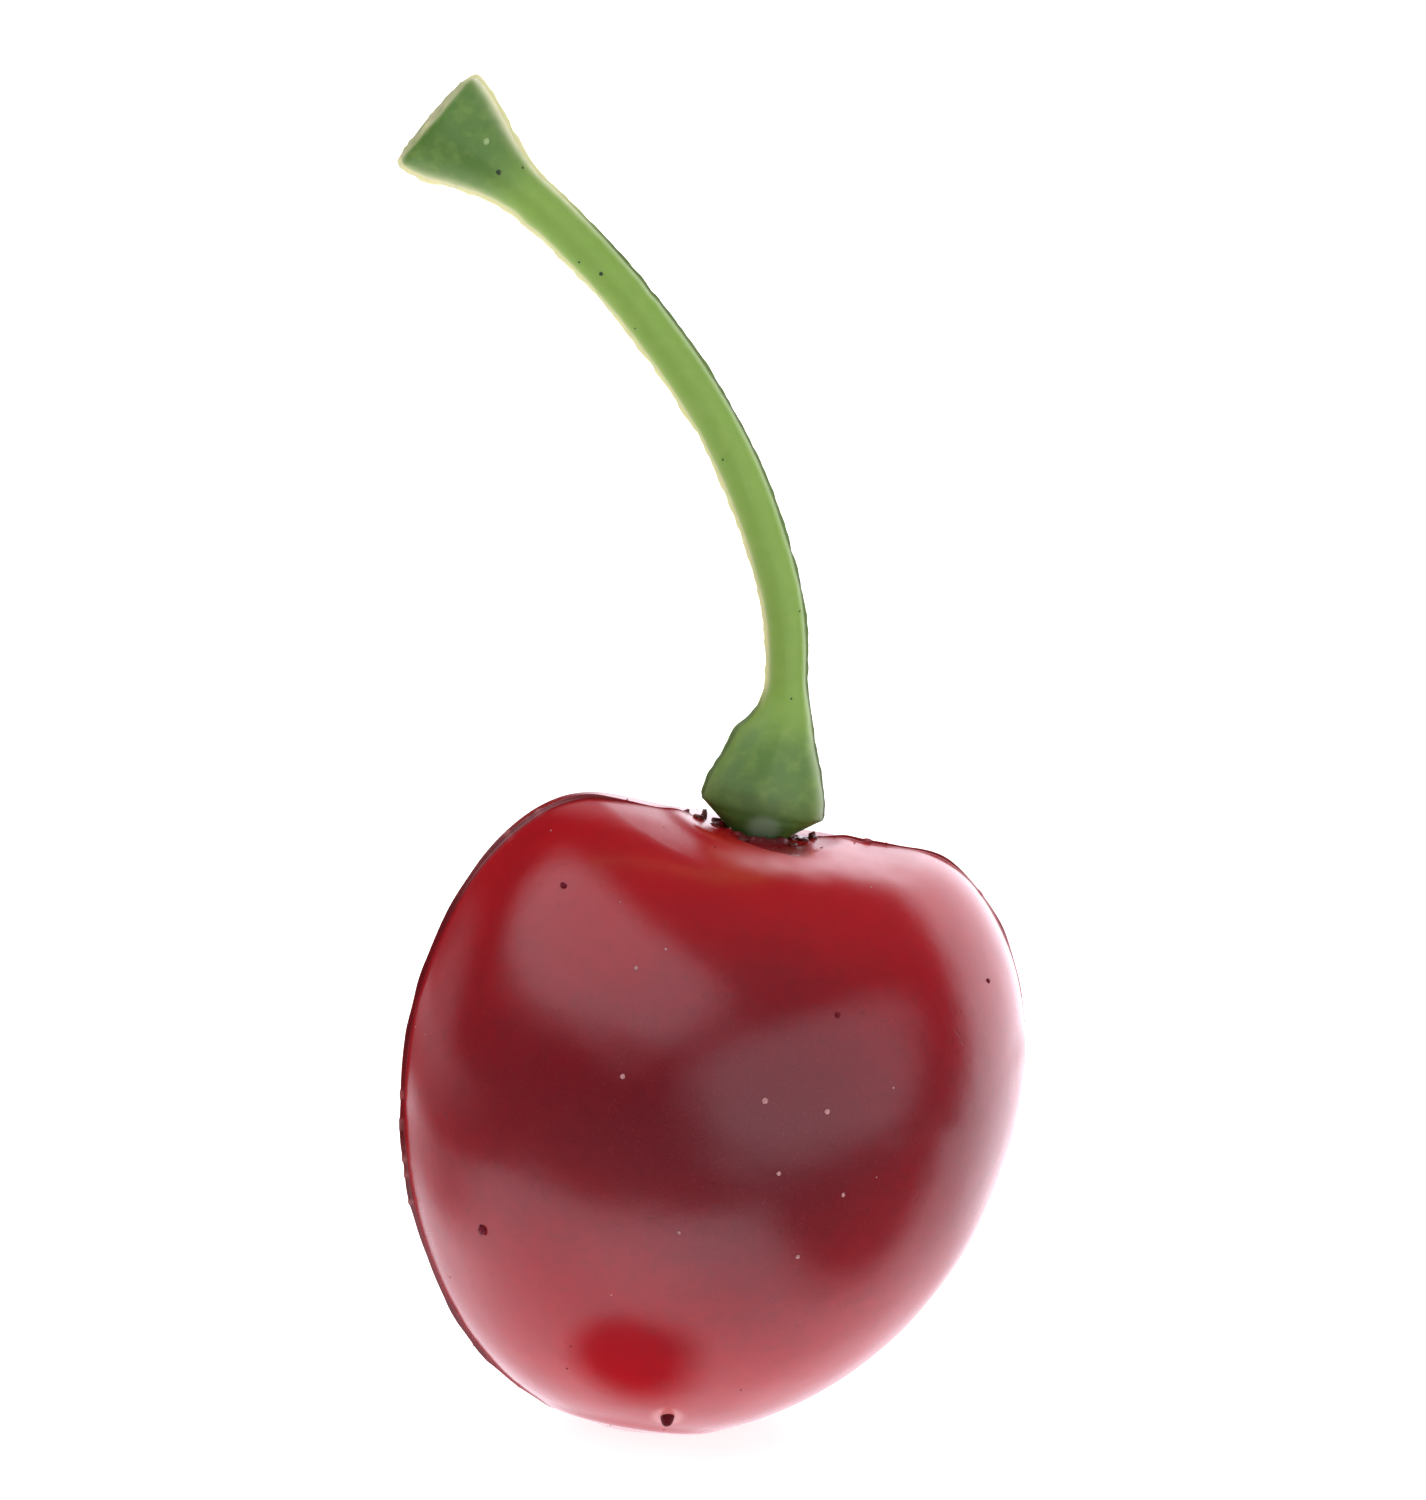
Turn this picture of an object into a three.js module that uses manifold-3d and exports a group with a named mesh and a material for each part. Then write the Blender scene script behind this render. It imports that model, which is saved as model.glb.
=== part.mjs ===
// An imitation cherry on its stalk: a moulded heart-shaped fruit that rests on a small flat spot, and a moulded
// green stalk whose plug stands in a plain hole in the fruit's top.
// Millimetres, +Z up, with the origin in the middle of the flat spot. The fruit's shoulders lie along X.
import * as THREE from "three";
import { mergeVertices } from "three/addons/utils/BufferGeometryUtils.js";
import Module from "manifold-3d";

const wasm = await Module();
wasm.setup();

// The cherry leans, with its top towards +X and a little towards +Y. Its own axis passes through the middle of the
// crater in the fruit's top, which stands here over the flat spot.
const lean = { sidewaysDegrees: 8.8, backDegrees: 6 };
const craterPlace = [3.3, 1.62, 23.9];

// The fruit's outline from the middle of its top to its tip, through the shoulders and through the faces.
const tipDrop = 24.9;
const shoulders = { crestRadius: 6.3, crestHeight: 0.08, crestSlope: 0, halfWidth: 12.35, waistDrop: 9.9 };
const faces = { crestRadius: 5.2, crestHeight: -1.1, crestSlope: -0.42, halfWidth: 11.8, waistDrop: 10.1 };
const tipSway = 1.35;
const shoulderTilt = 0.032;
const fruitColumns = 64;
const fruitBands = { top: 13, shoulder: 13, belly: 20 };

// The crater round the stalk, and the plain hole in its floor.
const crater = { radius: 2.9, depth: 0.16 };
const hole = { radius: 1.55, depth: 4.6 };

// The mould's parting line goes round the fruit through its top and its tip, as a keel with a thin ridge on it.
const seam = { turnDegrees: 8, keelHeight: 0.1, keelReach: 1.3, ridgeHeight: 0.1, ridgeReach: 0.22 };

// The stalk's middle line from its plug to its head, as [x, y, z] from the middle of the crater.
const stalkLine = [
  [0, 0, -4.3],
  [0, 0, 0],
  [0.12, 0, 3],
  [0.24, 0.03, 5.9],
  [-0.68, 0.12, 10.0],
  [-3.5, 0.3, 15.2],
  [-7.5, 0.5, 19.72],
  [-12.0, 0.75, 23.35],
  [-17.2, 1.0, 26.55],
];
const plug = { radius: 1.25, depth: 4.3, chamfer: 0.35 };
const foot = { rise: 0.9, flare: 1.72, length: 6.2, rimDrop: 0.22 };
const shaft = { footWidth: 0.73, headWidth: 0.88 };
const head = { flare: 1.42, length: 5.1, dome: 0.45 };
const stalkFlatness = { shaft: 0.92, flare: 0.7 };
const stalkSides = 20;
const stalkSteps = { foot: 13, shaft: 24, head: 12, dome: 4 };

const finishes = {
  fruit: { color: 0xa31420, roughness: 0.32, metalness: 0 },
  stalk: { color: 0x5c9a3a, roughness: 0.45, metalness: 0 },
};

// Booleans

function solidOf(geometry) {
  const bare = geometry.clone();
  bare.deleteAttribute("normal");
  bare.deleteAttribute("uv");
  const merged = mergeVertices(bare, 1e-4);
  const vertProperties = merged.attributes.position.array;
  const triVerts = new Uint32Array(merged.index.array);
  return new wasm.Manifold(new wasm.Mesh({ numProp: 3, vertProperties, triVerts }));
}

function geometryOf(solid) {
  const mesh = solid.getMesh();
  const geometry = new THREE.BufferGeometry();
  geometry.setAttribute("position", new THREE.BufferAttribute(mesh.vertProperties, 3));
  geometry.setIndex(new THREE.BufferAttribute(mesh.triVerts, 1));
  const faceted = geometry.toNonIndexed();
  faceted.computeVertexNormals();
  return faceted;
}

// A closed skin over rings of points, from the first ring's pole to the last one's, where place(column, ring)
// gives each point. It takes its faces from a lathe, and its columns go round anticlockwise seen from the last pole.
function skin(columns, rings, place) {
  const profile = Array.from({ length: rings }, (_, ring) => new THREE.Vector2(1, ring));
  const geometry = new THREE.LatheGeometry(profile, columns);
  const position = geometry.attributes.position;
  for (let column = 0; column <= columns; column++) {
    for (let ring = 0; ring < rings; ring++) {
      const point = place(column % columns, ring);
      position.setXYZ(column * rings + ring, point.x, point.y, point.z);
    }
  }
  return geometry;
}

// Fruit

// Half of the fruit's outline as three bends: over the top, round the shoulder and down the belly to the tip.
function outlineBends({ crestRadius, crestHeight, crestSlope, halfWidth, waistDrop }) {
  const topReach = 0.36 * crestRadius;
  const shoulderReach = 0.6 * (halfWidth - crestRadius);
  const shoulderRise = 0.46 * (waistDrop + crestHeight);
  const bellyDrop = 0.48 * (tipDrop - waistDrop);
  const tipReach = 0.58 * halfWidth;
  const middle = new THREE.Vector2(0, 0);
  const crest = new THREE.Vector2(crestRadius, crestHeight);
  const waist = new THREE.Vector2(halfWidth, -waistDrop);
  const tip = new THREE.Vector2(0, -tipDrop);
  return {
    top: new THREE.CubicBezierCurve(
      middle,
      new THREE.Vector2(topReach, 0),
      new THREE.Vector2(crestRadius - topReach, crestHeight - crestSlope * topReach),
      crest,
    ),
    shoulder: new THREE.CubicBezierCurve(
      crest,
      new THREE.Vector2(crestRadius + shoulderReach, crestHeight + crestSlope * shoulderReach),
      new THREE.Vector2(halfWidth, shoulderRise - waistDrop),
      waist,
    ),
    belly: new THREE.CubicBezierCurve(
      waist,
      new THREE.Vector2(halfWidth, -waistDrop - bellyDrop),
      new THREE.Vector2(tipReach, -tipDrop),
      tip,
    ),
  };
}

// The outline's points from the tip up to the middle of the top.
function outlinePoints(shape) {
  const bends = outlineBends(shape);
  const points = [bends.top.getPoint(0)];
  for (const [band, steps] of Object.entries(fruitBands)) {
    for (let step = 1; step <= steps; step++) points.push(bends[band].getPoint(step / steps));
  }
  return points.reverse();
}

// The columns stand close together at the parting line, on both sides, and further apart on the faces.
function fruitColumnAngle(column) {
  const crowding = 0.43;
  const share = column / fruitColumns;
  const even = 2 * Math.PI * share;
  return even - crowding * Math.sin(2 * even) + THREE.MathUtils.degToRad(seam.turnDegrees);
}

// How far the parting line stands proud at a distance from its plane. It fades out in the crater.
function seamHeight(distance, radius) {
  const keel = seam.keelHeight * Math.exp(-distance / seam.keelReach);
  const ridge = seam.ridgeHeight * Math.exp(-((distance / seam.ridgeReach) ** 2));
  return (keel + ridge) * THREE.MathUtils.smoothstep(radius, 0.5 * crater.radius, 1.3 * crater.radius);
}

// The height of the crater's floor and wall over its lowest point, which is the cherry's own origin.
function craterFloor(radius) {
  const share = Math.min(radius / crater.radius, 1);
  return crater.depth * (1 - (1 - share ** 2) ** 2);
}

// A point of the fruit's skin: the two outlines blended round the axis, with one shoulder a little higher, and
// swayed towards the tip.
function fruitPoint(angle, shoulderPoint, facePoint) {
  const share = Math.cos(angle) ** 2;
  const skinPoint = facePoint.clone().lerp(shoulderPoint, share);
  const radius = skinPoint.x;
  const seamAngle = angle - THREE.MathUtils.degToRad(seam.turnDegrees);
  const proud = seamHeight(Math.abs(radius * Math.sin(seamAngle)), radius);
  const outward = new THREE.Vector2(radius, skinPoint.y + 0.5 * tipDrop).normalize();
  const grown = radius + proud * outward.x;
  const drop = -skinPoint.y / tipDrop;
  const tilted = shoulderTilt * grown * Math.cos(angle) * (1 - drop);
  return new THREE.Vector3(
    grown * Math.cos(angle) - tipSway * drop ** 2,
    grown * Math.sin(angle),
    skinPoint.y + proud * outward.y - tilted + craterFloor(radius),
  );
}

function fruitSkin() {
  const shoulderPoints = outlinePoints(shoulders);
  const facePoints = outlinePoints(faces);
  return skin(fruitColumns, shoulderPoints.length, (column, ring) =>
    fruitPoint(fruitColumnAngle(column), shoulderPoints[ring], facePoints[ring]),
  );
}

function stalkHole() {
  const clearAbove = 3;
  const length = hole.depth + clearAbove;
  const drill = new THREE.CylinderGeometry(hole.radius, hole.radius, length, 32);
  drill.rotateX(Math.PI / 2);
  drill.translate(0, 0, clearAbove - length / 2);
  return drill;
}

// Everything below the surface that the fruit rests on, in the fruit's own leaning frame.
function groundBlock(placing) {
  const size = 60;
  const block = new THREE.BoxGeometry(size, size, size);
  block.translate(0, 0, -size / 2);
  block.applyMatrix4(placing.clone().invert());
  return block;
}

function fruitGeometry(placing) {
  const body = solidOf(fruitSkin());
  const drilled = body.subtract(solidOf(stalkHole()));
  return geometryOf(drilled.subtract(solidOf(groundBlock(placing))));
}

// Stalk

// The stalk's half width across X at a height along its middle line, counted from the crater.
function stalkHalfWidth(height, headHeight) {
  const ease = THREE.MathUtils.smoothstep;
  const slim = THREE.MathUtils.lerp(shaft.footWidth, shaft.headWidth, height / headHeight);
  const footShare = 1 - ease(height, foot.rise, foot.rise + foot.length);
  const headShare = 1 - ease(headHeight - height, 0, head.length);
  return slim + foot.flare * footShare + head.flare * headShare;
}

// How deep the stalk is for its width: nearly round along the shaft, flatter where it flares.
function flatness(halfWidth) {
  const share = THREE.MathUtils.smoothstep(halfWidth, shaft.headWidth, shaft.footWidth + foot.flare);
  return THREE.MathUtils.lerp(stalkFlatness.shaft, stalkFlatness.flare, share);
}

function plugStations() {
  const { radius, depth, chamfer } = plug;
  const underside = foot.rise - foot.rimDrop;
  return [
    { height: -depth, halfWidth: 0, halfDepth: 0 },
    { height: -depth, halfWidth: radius - chamfer, halfDepth: radius - chamfer },
    { height: -depth + chamfer, halfWidth: radius, halfDepth: radius },
    { height: -depth / 2, halfWidth: radius, halfDepth: radius },
    { height: 0, halfWidth: radius, halfDepth: radius },
    { height: underside, halfWidth: radius, halfDepth: radius },
  ];
}

function flaredStation(height, headHeight) {
  const halfWidth = stalkHalfWidth(height, headHeight);
  return { height, halfWidth, halfDepth: halfWidth * flatness(halfWidth) };
}

// The rim under the foot's flare, then the flare, the shaft and the head's flare.
function shaftStations(headHeight) {
  const rim = flaredStation(foot.rise, headHeight);
  const inset = 0.12;
  const underRim = {
    height: foot.rise - foot.rimDrop,
    halfWidth: rim.halfWidth - inset,
    halfDepth: rim.halfDepth - inset,
  };
  const stations = [underRim, rim];
  const footEnd = foot.rise + foot.length;
  const headStart = headHeight - head.length;
  const stretches = [
    [foot.rise, footEnd, stalkSteps.foot],
    [footEnd, headStart, stalkSteps.shaft],
    [headStart, headHeight, stalkSteps.head],
  ];
  for (const [start, end, steps] of stretches) {
    for (let step = 1; step <= steps; step++) {
      const height = THREE.MathUtils.lerp(start, end, step / steps);
      stations.push(flaredStation(height, headHeight));
    }
  }
  return stations;
}

// The head's end is a shallow dome.
function domeStations(headHeight) {
  const rim = flaredStation(headHeight, headHeight);
  return Array.from({ length: stalkSteps.dome }, (_, index) => {
    const share = 1 - (index + 1) / stalkSteps.dome;
    return {
      height: headHeight + head.dome * (1 - share ** 2),
      halfWidth: rim.halfWidth * share,
      halfDepth: rim.halfDepth * share,
    };
  });
}

function stalkGeometry() {
  const line = new THREE.CatmullRomCurve3(
    stalkLine.map((point) => new THREE.Vector3(...point)),
    false,
    "catmullrom",
    0.5,
  );
  const length = line.getLength();
  const headHeight = length - plug.depth;
  const stations = [...plugStations(), ...shaftStations(headHeight), ...domeStations(headHeight)];
  const endPoint = line.getPointAt(1);
  const endTangent = line.getTangentAt(1);
  const across = new THREE.Vector3(0, 1, 0);
  return skin(stalkSides, stations.length, (side, ring) => {
    const { height, halfWidth, halfDepth } = stations[ring];
    const share = Math.min((height + plug.depth) / length, 1);
    const beyond = Math.max(height - headHeight, 0);
    const tangent = share < 1 ? line.getTangentAt(share) : endTangent;
    const centre = share < 1 ? line.getPointAt(share) : endPoint.clone();
    const widthways = across.clone().cross(tangent).normalize();
    const depthways = tangent.clone().cross(widthways);
    const angle = (2 * Math.PI * side) / stalkSides;
    return centre
      .clone()
      .addScaledVector(tangent, beyond)
      .addScaledVector(widthways, halfWidth * Math.cos(angle))
      .addScaledVector(depthways, halfDepth * Math.sin(angle));
  });
}

// Assembly

function finished(name, geometry) {
  const mesh = new THREE.Mesh(geometry, new THREE.MeshStandardMaterial(finishes[name]));
  mesh.name = name;
  return mesh;
}

const cherry = new THREE.Group();
cherry.position.set(...craterPlace);
cherry.rotation.x = -THREE.MathUtils.degToRad(lean.backDegrees);
cherry.rotation.y = THREE.MathUtils.degToRad(lean.sidewaysDegrees);
cherry.updateMatrix();
cherry.add(finished("fruit", fruitGeometry(cherry.matrix)));
cherry.add(finished("stalk", stalkGeometry()));

const group = new THREE.Group();
group.add(cherry);

export default group;
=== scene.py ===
import math
import random

import bmesh
import bpy
import numpy as np
from mathutils import Matrix, Vector, noise
from mathutils.bvhtree import BVHTree


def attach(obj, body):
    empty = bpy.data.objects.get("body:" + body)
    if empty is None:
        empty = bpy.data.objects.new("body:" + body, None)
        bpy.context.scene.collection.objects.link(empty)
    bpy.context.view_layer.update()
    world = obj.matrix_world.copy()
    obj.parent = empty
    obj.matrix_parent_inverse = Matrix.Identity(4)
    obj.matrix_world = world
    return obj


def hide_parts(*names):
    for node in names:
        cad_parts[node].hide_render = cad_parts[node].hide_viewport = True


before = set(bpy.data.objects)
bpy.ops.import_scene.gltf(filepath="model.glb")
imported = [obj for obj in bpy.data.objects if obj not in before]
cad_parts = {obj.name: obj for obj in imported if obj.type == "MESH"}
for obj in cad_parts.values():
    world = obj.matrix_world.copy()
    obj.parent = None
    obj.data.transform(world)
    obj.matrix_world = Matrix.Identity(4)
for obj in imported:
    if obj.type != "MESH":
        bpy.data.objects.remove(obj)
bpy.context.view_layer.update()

scene = bpy.context.scene
mm = 0.001  # pieces are worked out in millimetres and stored in metres

# The whole cherry leans, and its own axis passes through the middle of the crater.
cherry = {
    "sidewaysLean": 8.8,  # degrees, the top towards +X
    "backLean": 6,  # degrees, the top towards +Y
    "craterPlace": (3.3, 1.62, 23.9),
}
placing = (
    Matrix.Translation(cherry["craterPlace"])
    @ Matrix.Rotation(-math.radians(cherry["backLean"]), 4, "X")
    @ Matrix.Rotation(math.radians(cherry["sidewaysLean"]), 4, "Y")
)


def standing(points):  # from the cherry's own leaning frame to the frame of the floor
    return points @ np.array(placing.to_3x3()).T + np.array(placing.translation)


def lerp(low, high, share):
    return low + (high - low) * share


def ease(value, low, high):
    share = np.clip((value - low) / (high - low), 0, 1)
    return share * share * (3 - 2 * share)


def hill(distance, reach):
    return np.exp(-((distance / reach) ** 2))


def wobble(points, size, seed):  # smooth noise, about -1 to 1, with features of this size
    flat = (points.reshape(-1, 3) / size + seed).tolist()
    return np.array([noise.noise(spot) for spot in flat]).reshape(points.shape[:-1])


# The camera and the stage are in metres, and their angles in degrees.

camera = {
    "elevation": 15.4,
    "distance": 0.8,
    "frameHeight": 0.0605,  # what the view takes in at the cherry
    "across": 0.0015,  # where it aims, across and up the view from the origin
    "rise": 0.0268,
    "sensor": 36,  # mm
    "clip": (0.05, 20),
}


def makeCamera():  # gives the direction that is up in its view
    tilt = math.radians(camera["elevation"])
    back = Vector((0, -math.cos(tilt), math.sin(tilt)))
    up = Vector((0, math.sin(tilt), math.cos(tilt)))
    data = bpy.data.cameras.new("camera")
    data.sensor_width = camera["sensor"]
    data.lens = camera["sensor"] * camera["distance"] / camera["frameHeight"]
    data.clip_start, data.clip_end = camera["clip"]
    taker = bpy.data.objects.new("camera", data)
    aim = Vector((camera["across"], 0, 0)) + up * camera["rise"]
    taker.location = aim + back * camera["distance"]
    taker.rotation_mode = "QUATERNION"
    taker.rotation_quaternion = (-back).to_track_quat("-Z", "Y")
    scene.collection.objects.link(taker)
    scene.camera = taker
    return up


sightUp = makeCamera()
scene.view_settings.view_transform = "Standard"
print("camera ready")


class Wire:  # a node's output, so that shader maths is written as maths
    def __init__(self, tree, socket=None):
        self.tree = tree
        self.socket = socket

    def node(self, kind, settings=None, sockets=None, output=0):
        made = self.tree.nodes.new(kind)
        for name, value in (settings or {}).items():
            setattr(made, name, value)
        for name, value in (sockets or {}).items():
            if isinstance(value, Wire):
                self.tree.links.new(value.socket, made.inputs[name])
            else:
                made.inputs[name].default_value = value
        return Wire(self.tree, made.outputs[output] if made.outputs else None)

    def maths(self, operation, *values):
        return self.node("ShaderNodeMath", {"operation": operation}, dict(enumerate(values)))

    def __add__(self, other):
        return self.maths("ADD", self, other)

    def __radd__(self, other):
        return self.maths("ADD", other, self)

    def __sub__(self, other):
        return self.maths("SUBTRACT", self, other)

    def __rsub__(self, other):
        return self.maths("SUBTRACT", other, self)

    def __mul__(self, other):
        return self.maths("MULTIPLY", self, other)

    def __rmul__(self, other):
        return self.maths("MULTIPLY", other, self)


def startTree(owner):
    owner.use_nodes = True
    owner.node_tree.nodes.clear()
    return Wire(owner.node_tree)


def mixColours(share, low, high):
    low, high = (c if isinstance(c, Wire) else (*c, 1) for c in (low, high))
    # inputs 6 and 7 and output 2 are the ones for colours
    return share.node("ShaderNodeMix", {"data_type": "RGBA"}, {0: share, 6: low, 7: high}, 2)


def paintOver(colour, paint, layers):  # each layer has its share and the name of its colour
    for share, name in layers:
        colour = mixColours(share, colour, paint[name])
    return colour


def easeWire(value, low, high):
    return value.node(
        "ShaderNodeMapRange",
        {"interpolation_type": "SMOOTHSTEP"},
        {"Value": value, "From Min": low, "From Max": high},
    )


def grain(place, size, detail=2, roughness=0.5):  # noise from 0 to 1
    sockets = {"Vector": place, "Scale": 1 / size, "Detail": detail, "Roughness": roughness}
    return place.node("ShaderNodeTexNoise", {}, sockets)


def placeInMillimetres(start):
    own = start.node("ShaderNodeTexCoord", output="Object")
    return start.node("ShaderNodeVectorMath", {"operation": "SCALE"}, {0: own, "Scale": 1 / mm})


def mark(start, name):  # a value stored on the mesh's points
    return start.node("ShaderNodeAttribute", {"attribute_name": name}, output="Fac")


def blob(place, centre, reach):  # 1 in the middle, 0 at the reach and beyond
    away = place.node("ShaderNodeVectorMath", {"operation": "SUBTRACT"}, {0: place, 1: centre})
    scaled = place.node("ShaderNodeVectorMath", {"operation": "DIVIDE"}, {0: away, 1: reach})
    length = place.node("ShaderNodeVectorMath", {"operation": "LENGTH"}, {0: scaled}, "Value")
    return easeWire(length, 1, 0)


def finishMaterial(start, sockets, relief):
    normal = start.node("ShaderNodeBump", {}, relief)
    sockets = {**sockets, "Normal": normal}
    shader = start.node("ShaderNodeBsdfPrincipled", {}, sockets)
    start.node("ShaderNodeOutputMaterial", {}, {"Surface": shader})


stage = {
    "floorSize": 12,
    "floorColour": (0.9, 0.9, 0.89),
    "floorRoughness": 0.55,
    "floorGrain": 40,  # mm
    "floorGlow": 0.75,  # the table is lit from underneath
    "floorDrop": 0.02,  # mm under the cherry's flat spot
    "backdrop": 1.05,
    "roomLight": 0.15,
    "roomGloss": 0.03,  # the far room is dark where the gloss mirrors it
    # soft light that the gloss doesn't show: place, aim, width, height, brightness
    "lights": {
        "backLight": ((0.2, 0.9, 0.3), (0, 0, 0.03), 1.7, 0.6, 1.9),
        "leftLight": ((-0.6, -0.05, 0.5), (0, 0, 0.02), 0.7, 0.7, 1.05),
        "frontLight": ((0.4, -0.7, 0.3), (0, 0, 0.02), 1, 0.6, 0.5),
        "overhead": ((0.25, 0.15, 0.9), (0, 0, 0), 1.2, 1.2, 1.75),
    },
    "glossTint": (1, 0.97, 1.07),
    "mirroredDistance": 0.9,
    # what the gloss shows: compass bearing from +Y to +X, height, half width, half height and turn, then
    # brightness, soft edge and roundness, where 2 is an ellipse and more is nearer a rectangle
    "mirrored": {
        "backPanel": (39, -3, 44, 54, 0, 2.55, 0.37, 2.2),
        "leftSoftbox": (-115, 57, 47, 35, 8, 1.85, 0.5, 3),
        "frontSoftbox": (143, 15, 52, 41, 8, 1.33, 0.55, 2.7),
        "bridge": (-146, 27, 17, 15, 0, 0.5, 0.9, 2),
        "leftStrip": (-52, 3, 19, 17, 0, 0.42, 0.9, 2),
        "crestGlow": (-4, 33, 20, 17, 0, 0.62, 0.9, 2),
    },
    "poolStep": 0.01,  # mm from each pool up to the next
    # what it shows of the table, from the lowest up: middle, width, length and turn, then the same
    "pools": {
        "backGlow": ((-0.2, 0.14), 0.42, 0.36, 0, 0.5, 0.7, 3),
        "nearPool": ((0.004, 0.014), 0.112, 0.098, 0, 1.5, 0.2, 6),
        "leftShade": ((-0.036, 0.018), 0.036, 0.062, 0, 0.5, 0.7, 3),
        "edgeShade": ((-0.0185, 0.0115), 0.012, 0.034, 37, 1.15, 0.8, 2),
        "rightPool": ((0.034, 0.028), 0.052, 0.06, 0, 2.5, 0.5, 2.5),
        "frontPool": ((-0.006, -0.021), 0.03, 0.019, 0, 1.85, 0.8, 2),
        "sideShade": ((0.074, -0.0135), 0.11, 0.021, -2, 0.15, 0.4, 5),
        "cornerShade": ((0.0275, -0.0215), 0.042, 0.034, 0, 0.05, 0.35, 4),
        "darkPool": ((-0.0031, -0.0094), 0.0118, 0.0099, 10, 0, 0.6, 2.4),
    },
}


def makeFloor():
    bpy.ops.mesh.primitive_grid_add(x_subdivisions=4, y_subdivisions=4, size=stage["floorSize"])
    floor = bpy.context.object
    floor.name = "floor"
    floor.location.z = -stage["floorDrop"] * mm
    floor.visible_glossy = False  # the gloss shows the pools of light below instead
    paint = bpy.data.materials.new("paleTable")
    start = startTree(paint)
    place = placeInMillimetres(start)
    sockets = {
        "Base Color": (*stage["floorColour"], 1),
        "Roughness": stage["floorRoughness"] + 0.1 * grain(place, stage["floorGrain"]),
        "Specular IOR Level": 0.2,
        "Emission Color": (1, 1, 1, 1),
        "Emission Strength": stage["floorGlow"],
    }
    shader = start.node("ShaderNodeBsdfPrincipled", {}, sockets)
    start.node("ShaderNodeOutputMaterial", {}, {"Surface": shader})
    floor.data.materials.append(paint)


def makeRoom():
    world = bpy.data.worlds.new("room")
    scene.world = world
    start = startTree(world)
    seen = start.node("ShaderNodeLightPath", output="Is Camera Ray")
    gloss = start.node("ShaderNodeLightPath", output="Is Glossy Ray")
    plain = stage["roomLight"]
    strength = plain + (stage["backdrop"] - plain) * seen + (stage["roomGloss"] - plain) * gloss
    back = start.node("ShaderNodeBackground", {}, {"Color": (1, 1, 1, 1), "Strength": strength})
    start.node("ShaderNodeOutputWorld", {}, {"Surface": back})


def facing(direction):
    return Vector(direction).to_track_quat("-Z", "Y")


def makeLights():
    for name, (place, aim, width, height, brightness) in stage["lights"].items():
        data = bpy.data.lights.new(name, "AREA")
        data.shape = "RECTANGLE"
        data.size = width
        data.size_y = height
        data.energy = brightness * math.pi * width * height
        lamp = bpy.data.objects.new(name, data)
        lamp.location = place
        lamp.rotation_mode = "QUATERNION"
        lamp.rotation_quaternion = facing(Vector(aim) - Vector(place))
        lamp.visible_camera = False
        lamp.visible_glossy = False
        scene.collection.objects.link(lamp)


def makeCard(name, place, width, height, brightness, edge, roundness):
    bpy.ops.mesh.primitive_plane_add(size=1)
    card = bpy.context.object
    card.name = name
    card.location = place
    card.scale = (width, height, 1)
    card.visible_camera = False
    card.visible_diffuse = False
    card.visible_shadow = False
    card.visible_transmission = False
    cloth = bpy.data.materials.new(name)
    start = startTree(cloth)
    spot = start.node("ShaderNodeTexCoord", output="Generated")
    away = 0
    for axis in "XY":
        share = spot.node("ShaderNodeSeparateXYZ", {}, {0: spot}, axis)
        aside = share.maths("ABSOLUTE", 2 * share - 1)
        away = aside.maths("POWER", aside, roundness) + away
    soft = easeWire(away.maths("POWER", away, 1 / roundness), 1, 1 - edge)
    tint = (*stage["glossTint"], 1)
    glow = start.node("ShaderNodeEmission", {}, {"Color": tint, "Strength": brightness})
    clear = start.node("ShaderNodeBsdfTransparent")
    surface = start.node("ShaderNodeMixShader", {}, {0: soft, 1: clear, 2: glow})
    start.node("ShaderNodeOutputMaterial", {}, {"Surface": surface})
    card.data.materials.append(cloth)
    return card


def makeMirrored():
    distance = stage["mirroredDistance"]
    for name, (*angles, brightness, edge, roundness) in stage["mirrored"].items():
        bearing, rise, halfWidth, halfHeight, turn = map(math.radians, angles)
        level = math.cos(rise)
        away = Vector((math.sin(bearing) * level, math.cos(bearing) * level, math.sin(rise)))
        width, height = (2 * distance * math.tan(half) for half in (halfWidth, halfHeight))
        card = makeCard(name, away * distance, width, height, brightness, edge, roundness)
        card.rotation_mode = "QUATERNION"
        card.rotation_quaternion = facing(-away) @ Matrix.Rotation(turn, 3, "Z").to_quaternion()
    for layer, (name, (middle, width, length, turn, *look)) in enumerate(stage["pools"].items()):
        card = makeCard(name, (*middle, stage["poolStep"] * mm * (layer + 1)), width, length, *look)
        card.rotation_euler.z = math.radians(turn)


makeFloor()
makeRoom()
makeLights()
makeMirrored()
print("stage and lights ready")


def makePiece(name, material, points, faces, marks=None):
    mesh = bpy.data.meshes.new(name)
    mesh.from_pydata((points * mm).tolist(), [], faces)
    mesh.materials.append(material)
    for markName, values in (marks or {}).items():
        layer = mesh.attributes.new(markName, "FLOAT", "POINT")
        layer.data.foreach_set("value", np.asarray(values, dtype=np.float32).ravel())
    mesh.polygons.foreach_set("use_smooth", [True] * len(mesh.polygons))
    mesh.update()
    piece = bpy.data.objects.new(name, mesh)
    scene.collection.objects.link(piece)
    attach(piece, "root")
    return piece


def skinFaces(rings, columns, upwards):  # the first and last points close the skin's ends
    last = rings * columns + 1
    faces = []
    for column in range(columns):
        beside = (column + 1) % columns
        faces.append((0, 1 + beside, 1 + column))
        for ring in range(rings - 1):
            low = 1 + ring * columns
            high = low + columns
            faces.append((low + column, low + beside, high + beside, high + column))
        top = 1 + (rings - 1) * columns
        faces.append((top + column, top + beside, last))
    return faces if upwards else [face[::-1] for face in faces]


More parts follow.
